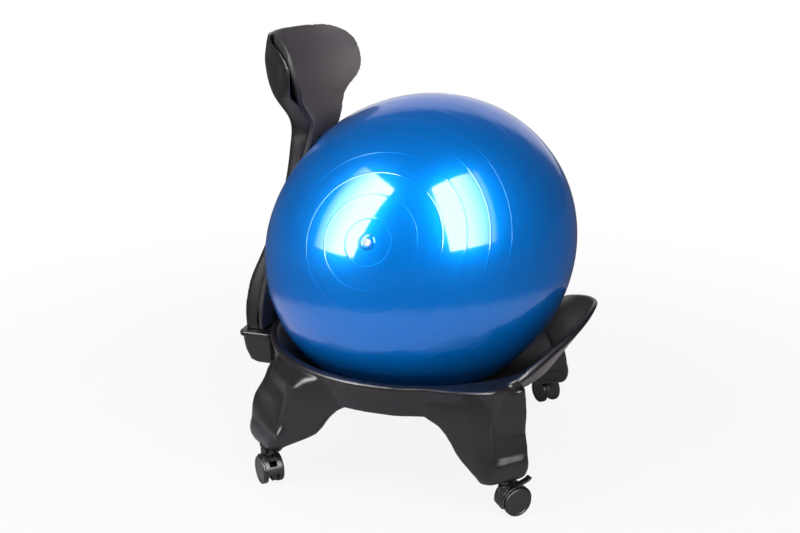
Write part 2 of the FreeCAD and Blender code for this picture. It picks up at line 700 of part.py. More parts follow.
def main():
    save(make_base(), "base_shell")
    save(make_socket(), "back_socket")
    panel, shell = make_backrest()
    save(panel, "backrest_panel")
    save(shell, "backrest_shell")
    save(make_bolts(), "back_bolts")
    save(make_nuts(), "back_nuts")
    save(make_screws(), "socket_screws")
    save(make_ball(), "ball")
    save(make_plug(), "valve_plug")
    for name, (x, y, turn) in corners.items():
        save(make_sleeve(x, y), "stem_sleeve_" + name)
        save(make_stem(x, y), "stem_" + name)
        save(swivel(make_hood(name in braked), x, y, turn), "hood_" + name)
        save(swivel(make_axle(), x, y, turn), "axle_" + name)
        save(swivel(make_wheel(1), x, y, turn), "wheel_a_" + name)
        save(swivel(make_wheel(-1), x, y, turn), "wheel_b_" + name)
        if name in braked:
            save(swivel(make_lever(), x, y, turn), "brake_lever_" + name)


main()
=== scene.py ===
# %% [markdown]
# # Balance ball chair
# An inflated ball sits in a four-legged moulded tray on twin-wheel casters, and a moulded
# backrest stands in a socket behind it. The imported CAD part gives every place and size, in metres:
# +Z is up, the sitter faces -Y and +X is the sitter's left. This lesson dresses that part: it
# keeps the nodes whose shape is right and gives the others a fuller form and a finish.

import math

import bmesh
import bpy
from mathutils import Matrix, Vector


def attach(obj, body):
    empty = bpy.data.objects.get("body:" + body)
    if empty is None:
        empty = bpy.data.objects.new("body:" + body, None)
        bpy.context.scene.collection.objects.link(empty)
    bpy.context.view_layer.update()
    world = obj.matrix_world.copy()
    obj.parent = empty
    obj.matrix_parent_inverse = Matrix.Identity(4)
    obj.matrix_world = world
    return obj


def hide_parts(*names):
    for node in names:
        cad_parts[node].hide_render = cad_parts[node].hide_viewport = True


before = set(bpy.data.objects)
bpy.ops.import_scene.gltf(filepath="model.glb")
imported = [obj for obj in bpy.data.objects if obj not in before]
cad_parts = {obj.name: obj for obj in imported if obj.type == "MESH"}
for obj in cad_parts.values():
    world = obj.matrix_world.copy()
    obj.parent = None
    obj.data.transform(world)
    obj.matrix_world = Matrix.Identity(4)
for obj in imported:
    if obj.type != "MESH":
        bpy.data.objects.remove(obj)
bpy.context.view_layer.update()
MM = 0.001

# %% [markdown]
# ## Camera
# The photograph was taken from the front right, a little above the ball. The place and the focal
# length come from matching the round rim, the ball and the feet of the casters. There is no
# depth of field, so that every other view can move this camera.

# %% Camera at the photograph's viewing angle
sensor_mm = 36
focal_pixels, photo_width_pixels = 1076.1, 800
camera_data = bpy.data.cameras.new("studio_camera")
camera_data.sensor_width = sensor_mm
camera_data.lens = sensor_mm * focal_pixels / photo_width_pixels
camera_data.clip_end = 60
camera = bpy.data.objects.new("studio_camera", camera_data)
bpy.context.scene.collection.objects.link(camera)
camera.location = (-1.7652, -0.5296, 0.9370)
camera.rotation_euler = Vector((0.9058, 0.2906, -0.3083)).to_track_quat("-Z", "Y").to_euler()
bpy.context.scene.camera = camera
bpy.context.scene.view_settings.view_transform = "Standard"
print("camera", tuple(round(v, 3) for v in camera.location), "lens", round(camera_data.lens, 1))

# %% [markdown]
# ## Writing materials
# A material is a graph of nodes. Adding every node by hand is long and hard to read, so a Value
# wraps one socket and turns Python's +, - and * into Math nodes, and a Finish makes any other node
# from its type, its settings and what goes into it.


# %% Sockets that can be added and multiplied
class Value:
    def __init__(self, finish, socket):
        self.finish = finish
        self.socket = socket

    def maths(self, operation, other):
        return self.finish.node("ShaderNodeMath", {"operation": operation}, {0: self, 1: other})

    def __add__(self, other):
        return self.maths("ADD", other)

    def __sub__(self, other):
        return self.maths("SUBTRACT", other)

    def __mul__(self, other):
        return self.maths("MULTIPLY", other)

    __radd__ = __add__


# %% A material under one short name
class Finish:
    def __init__(self, name, **constants):
        self.material = bpy.data.materials.new(name)
        self.material.use_nodes = True
        self.tree = self.material.node_tree
        self.shader = self.tree.nodes["Principled BSDF"]
        for key, value in constants.items():
            self.shader.inputs[key.replace("_", " ")].default_value = value

    def feed(self, socket, value):
        if isinstance(value, Value):
            self.tree.links.new(value.socket, socket)
        else:
            socket.default_value = value

    def node(self, kind, settings=None, inputs=None, output=0):
        made = self.tree.nodes.new(kind)
        for key, value in (settings or {}).items():
            setattr(made, key, value)
        for key, value in (inputs or {}).items():
            self.feed(made.inputs[key], value)
        return Value(self, made.outputs[output])

    def place(self):
        return self.node("ShaderNodeTexCoord", output="Object")

    def dot(self, vector, direction):
        return self.node("ShaderNodeVectorMath", {"operation": "DOT_PRODUCT"}, {0: vector, 1: direction},
                         "Value")

    def edges(self):
        """How sharply the surface bends outwards, 0.5 where it is flat."""
        return self.node("ShaderNodeNewGeometry", output="Pointiness")

    def noise(self, scale, detail=3.0, rough=0.5, where=None):
        return self.node("ShaderNodeTexNoise", None, {
            "Vector": where or self.place(), "Scale": scale, "Detail": detail, "Roughness": rough})

    def band(self, value, low, high):
        """0 below low, 1 above high, and a smooth step between them."""
        return self.node("ShaderNodeMapRange", {"interpolation_type": "SMOOTHSTEP"}, {
            "Value": value, "From Min": low, "From Max": high})

    def blend(self, share, first, second):
        """A colour between two colours or sockets."""
        return self.node("ShaderNodeMix", {"data_type": "RGBA"}, {0: share, 6: first, 7: second}, 2)

    def bump(self, height, distance, strength=1.0):
        return self.node("ShaderNodeBump", None, {
            "Height": height, "Distance": distance, "Strength": strength})

    def drive(self, **values):
        for key, value in values.items():
            self.feed(self.shader.inputs[key.replace("_", " ")], value)
        return self.material


def shade_of(colour, share=1.0, lift=0.0):
    """A colour made darker or paler, with the fourth number that a socket wants."""
    return tuple(min(v * share + lift, 1.0) for v in colour) + (1,)


print("shader helpers ready")

# %% [markdown]
# ## Light
# The chair stands on a white sweep in a dark studio, with one large softbox on each side of the
# photographer. Their reflections are the two bright patches on the ball, so each lamp stands
# where the ball's skin at a patch points. Two weak lamps, above and low beside the camera, fill
# the shadows. The lamps themselves are left out of reflections: the next step draws those.


# %% Soft lamps
def facing(azimuth, elevation, distance, target=(-0.1, 0, 0.48)):
    """A place seen from the ball in a direction, turned to face it."""
    az, el = math.radians(azimuth), math.radians(elevation)
    out = Vector((math.cos(el) * math.cos(az), math.cos(el) * math.sin(az), math.sin(el)))
    turned = (-out).to_track_quat("-Z", "Y").to_matrix().to_4x4()
    return Matrix.Translation(Vector(target) + out * distance) @ turned


def soft_lamp(name, azimuth, elevation, distance, width, height, power):
    lamp = bpy.data.lights.new(name, "AREA")
    lamp.shape = "RECTANGLE"
    lamp.size = width
    lamp.size_y = height
    lamp.energy = power
    holder = bpy.data.objects.new(name, lamp)
    bpy.context.scene.collection.objects.link(holder)
    holder.matrix_world = facing(azimuth, elevation, distance)
    holder.visible_camera = False
    holder.visible_glossy = False


soft_lamp("lamp_left", 132, 34, 2.0, 1.2, 1.6, 14)
soft_lamp("lamp_right", -127, 38, 2.0, 1.25, 1.5, 13)
soft_lamp("lamp_top", 10, 75, 2.4, 1.6, 1.6, 5)
soft_lamp("lamp_low", 178, -7, 1.5, 1.6, 0.3, 5)


# %% [markdown]
# A softbox is far brighter in a mirror than the light that it throws on a dull surface suggests.
# So a white panel stands in front of each side lamp, which only glossy surfaces see: it draws the
# two bright patches on the ball and the soft streaks along the plastic's edges. The cloth of a
# real softbox is brightest over its bulb, so each panel fades towards one side.


# %% Softbox faces for the glossy surfaces
def fading_cloth(name, across, dark_end, bright_end, strength):
    """Glowing cloth, brighter along a direction."""
    cloth = Finish(name)
    glow = cloth.tree.nodes.new("ShaderNodeEmission")
    fade = cloth.node("ShaderNodeMapRange", {"interpolation_type": "SMOOTHSTEP"}, {
        "Value": cloth.dot(cloth.place(), across), "From Min": dark_end, "From Max": bright_end,
        "To Min": strength * 0.04, "To Max": strength})
    cloth.feed(glow.inputs["Color"], fade)
    cloth.tree.links.new(glow.outputs[0], cloth.tree.nodes["Material Output"].inputs["Surface"])
    cloth.tree.nodes.remove(cloth.shader)
    return cloth.material


def softbox_face(name, azimuth, elevation, distance, width, height, strength, bright_side):
    stand = facing(azimuth, elevation, distance)
    bm = bmesh.new()
    bmesh.ops.create_grid(bm, x_segments=1, y_segments=1, size=0.5)
    bmesh.ops.scale(bm, vec=(width, height, 1), verts=bm.verts)
    bmesh.ops.transform(bm, matrix=stand, verts=bm.verts)
    data = bpy.data.meshes.new(name)
    bm.to_mesh(data)
    bm.free()
    across = stand.to_3x3() @ Vector((bright_side, 0, 0))
    middle = across.dot(stand.to_translation())
    dark_end, bright_end = middle - width * 0.62, middle + width * 0.22
    data.materials.append(fading_cloth(name, across, dark_end, bright_end, strength))
    face = bpy.data.objects.new(name, data)
    bpy.context.scene.collection.objects.link(face)
    for ray in ("camera", "diffuse", "transmission", "volume_scatter", "shadow"):
        setattr(face, "visible_" + ray, False)


softbox_face("softbox_left", 132, 30, 1.95, 1.30, 1.95, 22, 1)
softbox_face("softbox_right", -127, 34, 1.95, 1.30, 1.9, 21, -1)
print("softbox faces ready")

# %% [markdown]
# The world says what a ray meets that misses everything. It is white to the camera, and a weak,
# slightly lilac fill to dull surfaces. Glossy surfaces see a dark room, apart from the white
# backdrop behind the chair, which gives the ball its pale rim.

# %% World: white to the camera, a backdrop behind the chair and a dark room in its gloss
world = bpy.data.worlds.new("studio")
bpy.context.scene.world = world
world.use_nodes = True
air = world.node_tree
air.nodes.clear()


def air_node(kind, **settings):
    made = air.nodes.new(kind)
    for key, value in settings.items():
        setattr(made, key, value)
    return made


def air_glow(colour, strength):
    made = air_node("ShaderNodeBackground")
    made.inputs["Color"].default_value = colour
    made.inputs["Strength"].default_value = strength
    return made


def air_mix(share, first, second):
    made = air_node("ShaderNodeMixShader")
    for socket, source in zip(made.inputs, (share, first.outputs[0], second.outputs[0])):
        air.links.new(source, socket)
    return made


spot = air_node("ShaderNodeTexCoord")
behind_chair = air_node("ShaderNodeVectorMath", operation="DOT_PRODUCT")
behind_chair.inputs[1].default_value = (0.945, 0.201, 0.259)
backdrop = air_node("ShaderNodeMapRange", interpolation_type="SMOOTHSTEP")
for socket, value in {"From Min": 0.84, "From Max": 0.93, "To Min": 0.05, "To Max": 0.85}.items():
    backdrop.inputs[socket].default_value = value
air.links.new(spot.outputs["Generated"], behind_chair.inputs[0])
air.links.new(behind_chair.outputs["Value"], backdrop.inputs["Value"])
soft = air_glow((1, 0.86, 1, 1), 0.30)
mirror = air_glow((1, 1, 1, 1), 1.0)
air.links.new(backdrop.outputs[0], mirror.inputs["Color"])
white = air_glow((1, 1, 1, 1), 1.0)
paths = air_node("ShaderNodeLightPath")
seen = air_node("ShaderNodeMath", operation="MAXIMUM")
air.links.new(paths.outputs["Is Camera Ray"], seen.inputs[0])
air.links.new(paths.outputs["Is Transmission Ray"], seen.inputs[1])
lit = air_mix(paths.outputs["Is Glossy Ray"], soft, mirror)
shown = air_mix(seen.outputs[0], lit, white)
air.links.new(shown.outputs[0], air_node("ShaderNodeOutputWorld").inputs[0])
print("world nodes", len(air.nodes))

# %% [markdown]
# The floor is a wide white disc. The camera sees it nearly white, but some of its shade stays, so
# that the chair keeps its shadow. In the ball's gloss it ends a little away from the chair, where
# the ball mirrors the dark room.

# %% Floor
floor_radius = 14
floor_mesh = bmesh.new()
bmesh.ops.create_circle(floor_mesh, cap_ends=True, segments=96, radius=floor_radius)
floor_data = bpy.data.meshes.new("studio_floor")
floor_mesh.to_mesh(floor_data)
floor_mesh.free()
floor = bpy.data.objects.new("studio_floor", floor_data)
bpy.context.scene.collection.objects.link(floor)
sweep = Finish("white_sweep", Roughness=0.9, Base_Color=(0.86, 0.86, 0.87, 1))
light_path = sweep.tree.nodes.new("ShaderNodeLightPath")
glow = sweep.tree.nodes.new("ShaderNodeEmission")
dark = sweep.tree.nodes.new("ShaderNodeEmission")
dark.inputs["Strength"].default_value = 0.10
away = sweep.node("ShaderNodeVectorMath", {"operation": "LENGTH"}, {0: sweep.place()}, "Value")
to_room = sweep.band(away, 0.74, 0.92) * Value(sweep, light_path.outputs["Is Glossy Ray"])
to_camera = Value(sweep, light_path.outputs["Is Camera Ray"]) * (0.88 + sweep.band(away, 0.45, 1.7) * 0.12)


def floor_mix(share, first, second):
    made = sweep.tree.nodes.new("ShaderNodeMixShader")
    sweep.feed(made.inputs[0], share)
    sweep.tree.links.new(first.outputs[0], made.inputs[1])
    sweep.tree.links.new(second.outputs[0], made.inputs[2])
    return made


floor_look = floor_mix(to_camera, floor_mix(to_room, sweep.shader, dark), glow)
sweep.tree.links.new(floor_look.outputs[0], sweep.tree.nodes["Material Output"].inputs["Surface"])
floor_data.materials.append(sweep.material)
print("floor radius", floor_radius, "m")

# %% [markdown]
# ## Finishes
# The tray and the backrest are blow-moulded in black polyethylene: the mould leaves a very fine
# grain, the wall cools unevenly, so broad reflections waver a little, and raised edges rub
# smooth and pale with use. One function makes that plastic, and each piece gets its own shade.


# %% Blow-moulded plastic
def moulded_plastic(name, shade, rough, tint, sides=None):
    """Black plastic. With sides, faces that don't look to the front get that darker colour, a painted
    shade.
    """
    made = Finish(name, IOR=1.47)
    broad = made.noise(7.0, 2.0)
    fine = made.noise(900.0, 2.0, 0.6)
    specks = made.noise(260.0, 4.0, 0.7)
    worn = made.band(made.edges(), 0.52, 0.60) * made.band(specks, 0.35, 0.60)
    dusty = made.band(made.noise(18.0, 5.0, 0.65), 0.48, 0.75)
    plain = tuple(shade * k for k in tint)
    colour = made.blend(broad, shade_of(plain, 0.86), shade_of(plain, 1.16))
    colour = made.blend(worn * 0.55, colour, shade_of(plain, 1.9, 0.006))
    if sides:
        # Painted shade: where the normal turns away from the front, the colour is blended to the darker
        # sides shade.
        ahead = made.dot(made.node("ShaderNodeNewGeometry", output="Normal"), (0, -1, 0))
        colour = made.blend(made.band(ahead, 0.45, 0.75), tuple(sides * k for k in tint) + (1,), colour)
    grain = made.bump(fine, 0.00024, 0.5)
    waves = made.node("ShaderNodeBump", None, {
        "Height": broad, "Distance": 0.0006, "Strength": 1.0, "Normal": grain})
    return made.drive(Base_Color=colour, Roughness=rough + dusty * 0.07 - worn * 0.08 + specks * 0.05,
                      Normal=waves)


base_finish = moulded_plastic("black_base_plastic", 0.009, 0.28, (1.12, 0.95, 1.06))
# The panel's grey, much paler than the shell's black, is partly a real matte grey and partly painted light
# on its front face; sides=0.004 paints shade on its side walls.
panel_finish = moulded_plastic("matte_panel_plastic_painted_light", 0.050, 0.55, (1.10, 0.93, 0.97), sides=0.004)
shell_finish = moulded_plastic("black_shell_plastic", 0.008, 0.29, (1.12, 0.95, 1.06))
print("moulded finishes", base_finish.name, panel_finish.name, shell_finish.name)

# %% [markdown]
# The casters' hoods and wheels and the valve's plug are injection-moulded: smoother than the
# tray, with fine scuffs that dull the gloss in places and edges that are rubbed a little paler.


# %% Caster plastic, wheel nylon and the white valve plug
def plain_plastic(name, colour, rough, grain_scale=140.0, grain_depth=0.00005):
    made = Finish(name, IOR=1.5)
    grain = made.noise(grain_scale, 4.0, 0.6)
    scuffs = made.noise(35.0, 6.0, 0.7)
    worn = made.band(made.edges(), 0.53, 0.64)
    look = made.blend(scuffs, shade_of(colour, 0.85), shade_of(colour, 1.2))
    look = made.blend(worn * 0.5, look, shade_of(colour, 1.8, 0.004))
    return made.drive(Base_Color=look, Roughness=rough + made.band(scuffs, 0.45, 0.8) * 0.14,
                      Normal=made.bump(grain, grain_depth, 0.6))


caster_finish = plain_plastic("black_caster_plastic", (0.006, 0.0052, 0.0056), 0.36)
wheel_finish = plain_plastic("black_wheel_nylon", (0.008, 0.007, 0.0075), 0.34, 220.0)
valve_finish = plain_plastic("white_valve_plastic", (0.80, 0.84, 0.90), 0.22, 90.0, 0.00003)
print("plain finishes", caster_finish.name, wheel_finish.name, valve_finish.name)

# %% [markdown]
# Nuts and axles are zinc-plated, bolts, screws and stems have a black oxide skin. Both show fine
# turning marks: noise that is squeezed along one axis, so that it becomes lines.


# %% Plated steel and black oxide
def brushed_metal(name, colour, rough, metal):
    made = Finish(name, Metallic=metal)
    streaks = made.node("ShaderNodeMapping", None, {"Vector": made.place(), "Scale": (300, 300, 2500)})
    lines = made.noise(1.0, 3.0, 0.6, streaks)
    stains = made.noise(60.0, 4.0, 0.6)
    return made.drive(Base_Color=made.blend(stains, shade_of(colour, 0.8), shade_of(colour, 1.15)),
                      Roughness=rough + lines * 0.12 + made.band(stains, 0.5, 0.8) * 0.1,
                      Normal=made.bump(lines, 0.00002, 0.5))


steel_finish = brushed_metal("zinc_plated_steel", (0.52, 0.52, 0.54), 0.28, 1.0)
bolt_finish = brushed_metal("black_oxide_steel", (0.035, 0.034, 0.036), 0.35, 0.6)
print("metals", steel_finish.name, bolt_finish.name)

# %% [markdown]
# ## Ball
# The ball is a blue vinyl bladder with a pearly pigment under a glossy skin. Thin moulded
# ridges run round it, centred on the valve. The body squeezed between backrest and lip is an egg.
# A profile is spun around the valve's axis, so every ridge is a row of real faces, and the
# sphere is then stretched into the egg and pressed flat where the tray and the backrest bear.

# %% Sizes of the ball
ball_y, ball_z = -1.0, 379.0
ball_centre = Vector((0, ball_y, ball_z)) * MM
ball_half = (275.0, 285.0, 262.0)
mean_radius = 275.0
ball_tilt = math.radians(38)
valve_rise, valve_turn = math.radians(17), math.radians(1.4)
valve_axis = Vector((-math.cos(valve_rise) * math.cos(valve_turn),
                     math.cos(valve_rise) * math.sin(valve_turn), math.sin(valve_rise)))
tip = Matrix.Rotation(-ball_tilt, 3, "X")
egg = tip @ Matrix.Diagonal(ball_half).to_3x3() @ tip.transposed()
pole = (egg.inverted() @ valve_axis).normalized()
valve_reach = (egg @ pole).length
print("valve at", (ball_centre + valve_axis * valve_reach * MM)[:])

# %% [markdown]
# The profile starts in the valve's well, as distances from the axis and heights over the skin.
# From there it follows the sphere by angle: every 8.1 degrees a low, round ridge, and between the
# ridges evenly spaced points that carry the curve.


# %% Profile from the valve's well over the ridges to the far pole
def ball_profile():
    """Distance from the axis and height of each point, for a sphere of radius 1."""
    well = [(0.0, -22.0), (4.2, -22.0), (4.2, -10.0), (4.2, 0.9), (4.6, 1.3), (6.0, 1.4), (9.5, 1.4),
            (10.8, 1.2), (11.7, 0.6), (12.4, 0.0), (13.2, -0.15), (14.2, 0.0), (16.0, 0.0)]
    ridge_spacing, ridge_half, ridge_count = 8.1, 0.23, 21
    ridge_shape = [(-1.7, 0.0), (-1.0, 0.0), (-0.45, 0.14), (0.0, 0.21), (0.45, 0.14), (1.0, 0.0),
                   (1.7, 0.0)]
    ridges = [(k * ridge_spacing + ridge_half * place, height)
              for k in range(1, ridge_count + 1) for place, height in ridge_shape]
    between = [3.4 + 1.02 * k for k in range(1, 172)]
    skin = [(angle, 0.0) for angle in between
            if min(abs(angle - place) for place, _ in ridges) > 0.35 and angle < 178]
    profile = []
    for r, height in well:
        share = r / mean_radius
        profile.append((share, 1 + height / mean_radius - (1 - math.sqrt(1 - share ** 2))))
    well_edge = 3.7
    for angle, height in sorted(ridges + skin):
        if angle > well_edge:
            turn, reach = math.radians(angle), 1 + height / mean_radius
            profile.append((math.sin(turn) * reach, math.cos(turn) * reach))
    profile.append((0.0, -1.0))
    return profile


# %% [markdown]
# The ball rests in the tray's bowl, whose section is a flat, a shallow curve and an arc up to the
# rim, and leans on the post of the backrest. Where one of them is in its way, the skin is held
# back to it. Between the free skin and the pressed skin runs a round transition.


# %% Where the tray and the backrest bear on the ball
def bowl_top(r):
    """Height of the tray's bowl at a distance from its middle, in mm."""
    flat_r, flat_z = 104, 129.0
    arc_r, arc_z = 148, 143
    rim_r, rim_z = 264.0, 226.0
    arc_depth = 9
    if r < flat_r:
        return flat_z
    if r < arc_r:
        return flat_z + 0.00723 * (r - flat_r) ** 2
    chord = math.hypot(rim_r - arc_r, rim_z - arc_z)
    radius = (chord ** 2 / 4 + arc_depth ** 2) / (2 * arc_depth)
    rise = math.atan2(rim_z - arc_z, rim_r - arc_r)
    lift = radius - arc_depth
    mid_r = (arc_r + rim_r) / 2 - lift * math.sin(rise)
    mid_z = (arc_z + rim_z) / 2 + lift * math.cos(rise)
    return mid_z - math.sqrt(max(radius ** 2 - (r - mid_r) ** 2, 0))


# each row: height; front face of the post, how far it sags at the sides, and its half width
post_rows = [(213, 284, 1, 80), (262, 283, 1, 78), (305, 276, 2, 75), (350, 264, 4, 70),
             (400, 245, 6, 66), (450, 230, 8, 62), (500, 219, 11, 60), (550, 206, 15, 61),
             (600, 195, 22, 76), (660, 230, 57, 140)]
origin_shift = 7.5


def post_front(x, z):
    """Where the backrest stops the ball at a place, in mm. Beside the post the ball bulges past it."""
    for (z0, f0, s0, h0), (z1, f1, s1, h1) in zip(post_rows, post_rows[1:]):
        if z0 <= z <= z1:
            t = (z - z0) / (z1 - z0)
            half = h0 + (h1 - h0) * t
            sag = (s0 + (s1 - s0) * t) * min(abs(x) / half, 1) ** 2
            return f0 + (f1 - f0) * t - origin_shift - sag + max(abs(x) - half, 0)
    return 1000.0


def pressed_below(value, limit, blend):
    """The smaller of two distances, with a round transition between them."""
    share = max(blend - abs(value - limit), 0) / blend
    return min(value, limit) - share * share * blend / 4


# %% [markdown]
# Spinning turns the profile into a skin of 240 strips, closed at both poles. The ball's skin is
# then stretched into the egg, turned onto the valve's axis and pressed, point by point.


# %% Spin the ball and press it into its seat
def spun(bm, profile, steps, axis=(0, 0, 1)):
    """Turns a profile of points round an axis into a closed skin, and returns the bmesh."""
    chain = [bm.verts.new(place) for place in profile]
    links = [bm.edges.new(pair) for pair in zip(chain, chain[1:])]
    bmesh.ops.spin(bm, geom=chain + links, cent=(0, 0, 0), axis=axis, angle=math.tau, steps=steps,
                   use_merge=True, use_duplicate=False)
    bmesh.ops.remove_doubles(bm, verts=bm.verts, dist=1e-6)
    return bm


ball_mesh = spun(bmesh.new(), [(r, 0, h) for r, h in ball_profile()], 240)
turn = pole.to_track_quat("Z", "Y").to_matrix()
bmesh.ops.transform(ball_mesh, matrix=(egg @ turn).to_4x4(), verts=ball_mesh.verts)
gap = 0.7
bowl_blend, post_blend = 6, 28
bowl_high, bowl_reach, post_near = 300, 264, 100
pressed = 0.0
for v in ball_mesh.verts:
    x, y, z = v.co.x, v.co.y + ball_y, v.co.z + ball_z
    r = math.hypot(x, y)
    if z < bowl_high and r < bowl_reach:
        z = -pressed_below(-z, -bowl_top(r) - gap, bowl_blend)
    if y > post_near:
        limit = post_front(x, z) - gap
        pressed = max(pressed, y - limit)
        y = pressed_below(y, limit, post_blend if abs(x) > 40 else post_blend * max(abs(x) - 20, 4) / 20)
    v.co = Vector((x, y, z)) * MM
bmesh.ops.recalc_face_normals(ball_mesh, faces=ball_mesh.faces)
print("ball faces", len(ball_mesh.faces), "backrest presses in", round(pressed, 2), "mm")

# %% [markdown]
# A finished piece keeps its object at the origin, with its place in its mesh, and rides on the
# body that carries it. One helper turns a bmesh into such a piece.


# %% From a bmesh to a piece
def piece(bm, name, finish, body, slot, *stands_for):
    data = bpy.data.meshes.new(name)
    bm.to_mesh(data)
    bm.free()
    data.materials.append(finish)
    data.shade_smooth()
    made = bpy.data.objects.new(name, data)
    bpy.context.scene.collection.objects.link(made)
    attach(made, body)
    if stands_for:
        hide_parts(*stands_for)
    return made


# %% [markdown]
# Pearly vinyl is a blue base that shines like metal where the pigment's flakes lie flat, under a
# clear, glossy coat. The edge tint keeps the grazing reflection blue. Fine creases and faint
# scuffs break up the gloss, as on a ball that is sat on.

# %% Pearly vinyl
pearl = Finish("pearly_blue_vinyl", Metallic=0.40, IOR=1.5, Coat_Weight=1.0, Coat_Roughness=0.07,
               Coat_IOR=1.5, Specular_Tint=(0.0, 0.16, 0.9, 1))
cloud = pearl.noise(5.0, 3.0)
flakes = pearl.noise(700.0, 2.0, 0.6)
stretch = pearl.node("ShaderNodeMapping", None, {"Vector": pearl.place(), "Scale": (60, 60, 9)})
creases = pearl.noise(1.0, 4.0, 0.65, stretch)
scuff = pearl.band(pearl.noise(26.0, 6.0, 0.75), 0.60, 0.78)
blue = pearl.blend(cloud, (0.0, 0.170, 0.61, 1), (0.0, 0.195, 0.68, 1))
blue = pearl.blend(scuff * 0.2, blue, (0.0, 0.17, 0.56, 1))
skin = pearl.bump(creases, 0.0005, 0.35)
skin = pearl.node("ShaderNodeBump", None, {
    "Height": flakes, "Distance": 0.00002, "Strength": 0.25, "Normal": skin})
pearl_finish = pearl.drive(Base_Color=blue, Roughness=0.34 + scuff * 0.08 + cloud * 0.04, Normal=skin)
ball = piece(ball_mesh, "inflated_ball", pearl_finish, "ball", "ball_vinyl", "ball")
print("ball box", [round(v, 3) for v in ball.dimensions])

# %% [markdown]
# ## Valve plug
# A white stopper with a flat head closes the well in the middle of the ball's side. It is spun
# from its half outline and set on the valve's axis.

# %% Valve plug
collar, play = 1.4, 0.15
seat = valve_reach + collar + play
outline = [(0, 1.5), (2.0, 1.5), (2.5, 1.9), (4.9, 2.0), (5.8, 1.7), (6.2, 1.1), (6.2, 0.4), (5.9, 0.0),
           (4.0, 0.0), (3.9, -9.0), (3.0, -17.5), (2.4, -18), (0, -18)]
plug_mesh = spun(bmesh.new(), [(r * MM, 0, h * MM) for r, h in outline], 48)
bmesh.ops.recalc_face_normals(plug_mesh, faces=plug_mesh.faces)
along_axis = valve_axis.to_track_quat("Z", "Y").to_matrix().to_4x4()
stand = Matrix.Translation(ball_centre + valve_axis * seat * MM) @ along_axis
bmesh.ops.transform(plug_mesh, matrix=stand, verts=plug_mesh.verts)
plug = piece(plug_mesh, "valve_stopper", valve_finish, "valve_plug", "valve_plastic", "valve_plug")
print("plug", [round(v, 4) for v in plug.dimensions])

# %% [markdown]
# ## Moulded pieces
# The tray, the socket and the backrest come from moulds with generous radii. Rounding every edge
# of such a form with bevels is fragile. A copy of the CAD shape is remeshed into small even faces
# instead and smoothed, which melts its edges round as the mould does, and then thinned out.


# %% Soften a copy of CAD nodes
def settled(made):
    """Turns what the modifiers make of a piece into its own mesh."""
    graph = bpy.context.evaluated_depsgraph_get()
    data = bpy.data.meshes.new_from_object(made.evaluated_get(graph))
    made.modifiers.clear()
    made.data = data
    return data


def smoothed(made, passes, where=None):
    """Melts the edges, everywhere or by a share from 0 to 1 that depends on the place in mm."""
    melt = made.modifiers.new("melt_edges", "SMOOTH")
    melt.factor = 0.5
    melt.iterations = passes
    if where:
        group = made.vertex_groups.new(name="melt")
        for v in made.data.vertices:
            share = where(v.co / MM)
            if share > 0.01:
                group.add([v.index], share, "REPLACE")
        melt.vertex_group = "melt"


def softened(name, nodes, voxel, passes, finish, body, slot, stands_for=None, extra=None, reshape=None,
             calm=None, calm_passes=90, most_faces=90000):
    """A soft copy of CAD nodes. extra adds to it, reshape moves it and calm melts parts of it more."""
    bm = bmesh.new()
    for node in nodes:
        bm.from_mesh(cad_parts[node].data)
    bmesh.ops.remove_doubles(bm, verts=bm.verts, dist=1e-6)
    if extra:
        extra(bm)
    made = piece(bm, name, finish, body, slot, *(stands_for or nodes))
    remesh = made.modifiers.new("even_faces", "REMESH")
    remesh.mode = "VOXEL"
    remesh.voxel_size = voxel * MM
    data = settled(made)
    if reshape:
        for v in data.vertices:
            v.co = reshape(v.co / MM) * MM
    smoothed(made, passes)
    if calm:
        smoothed(made, calm_passes, calm)
    count = len(data.polygons)
    if count > most_faces:
        thin = made.modifiers.new("thin_out", "DECIMATE")
        thin.ratio = most_faces / count
    data = settled(made)
    made.vertex_groups.clear()
    data.materials.clear()
    data.materials.append(finish)
    data.shade_smooth()
    print(name, "faces", count, "kept", len(data.polygons))
    return made


# %% [markdown]
# The legs' outer faces are sunk into their corners and run down into the feet. In the solid that
# ends in a step, where blown plastic flows. So a block fills the step before the remesh melts all
# of it together: two profiles are drawn, at two places along the leg, and bridged.


# %% Blocks that fill the legs' steps
# each row: height, and distance in front of the leg's line, in mm
front_profile = [(97, 6), (107, 5.6), (116, 4.2), (125, 1.8), (134, -1.4), (143, -4.2), (153, -6.6),
                 (166, -8.5)]
rear_profile = [(98, 14), (108, 13), (116, 6), (124, 0), (133, -5), (145, -9), (160, -12), (180, -18),
                (200, -28)]
rear_outline = [(98, 15), (108, 15), (116, 15), (126, 14.5), (138, 12), (150, 6.5), (162, -3), (175, -12),
                (200, -28)]
block_back = -40


def leg_filler(bm, corner, inner, outward, ends):
    """Adds a block in front of a leg's sunk face, on both sides of the tray."""
    for side in (1, -1):
        edges = []
        for share, profile in ends:
            place = corner.lerp(inner, share)
            section = profile + [(profile[-1][0], block_back), (profile[0][0], block_back)]
            spots = [place + outward.normalized() * offset + Vector((0, 0, z)) for z, offset in section]
            loop = [bm.verts.new((q.x * side * MM, q.y * MM, q.z * MM)) for q in spots]
            rim = [bm.edges.new(pair) for pair in zip(loop, loop[1:] + loop[:1])]
            bmesh.ops.contextual_create(bm, geom=rim)
            edges.extend(rim)
        bmesh.ops.bridge_loops(bm, edges=edges)


def leg_fillers(bm):
    """Fills the steps of all four legs."""
    leg_filler(bm, Vector((-262, -163, 0)), Vector((-191, -244, 0)), Vector((-0.70, -0.71, 0)),
               [(0.36, front_profile), (1.0, front_profile)])
    leg_filler(bm, Vector((-262, 158, 0)), Vector((-196, 236, 0)), Vector((-0.76, 0.65, 0)),
               [(0.0, rear_profile), (1.0, rear_outline)])
    bmesh.ops.recalc_face_normals(bm, faces=bm.faces)


# %% [markdown]
# A mould's radii aren't equal everywhere. Round the steps, on the legs' corners and where the
# lip starts, the surface is melted much more than on the rim, which stays crisp.


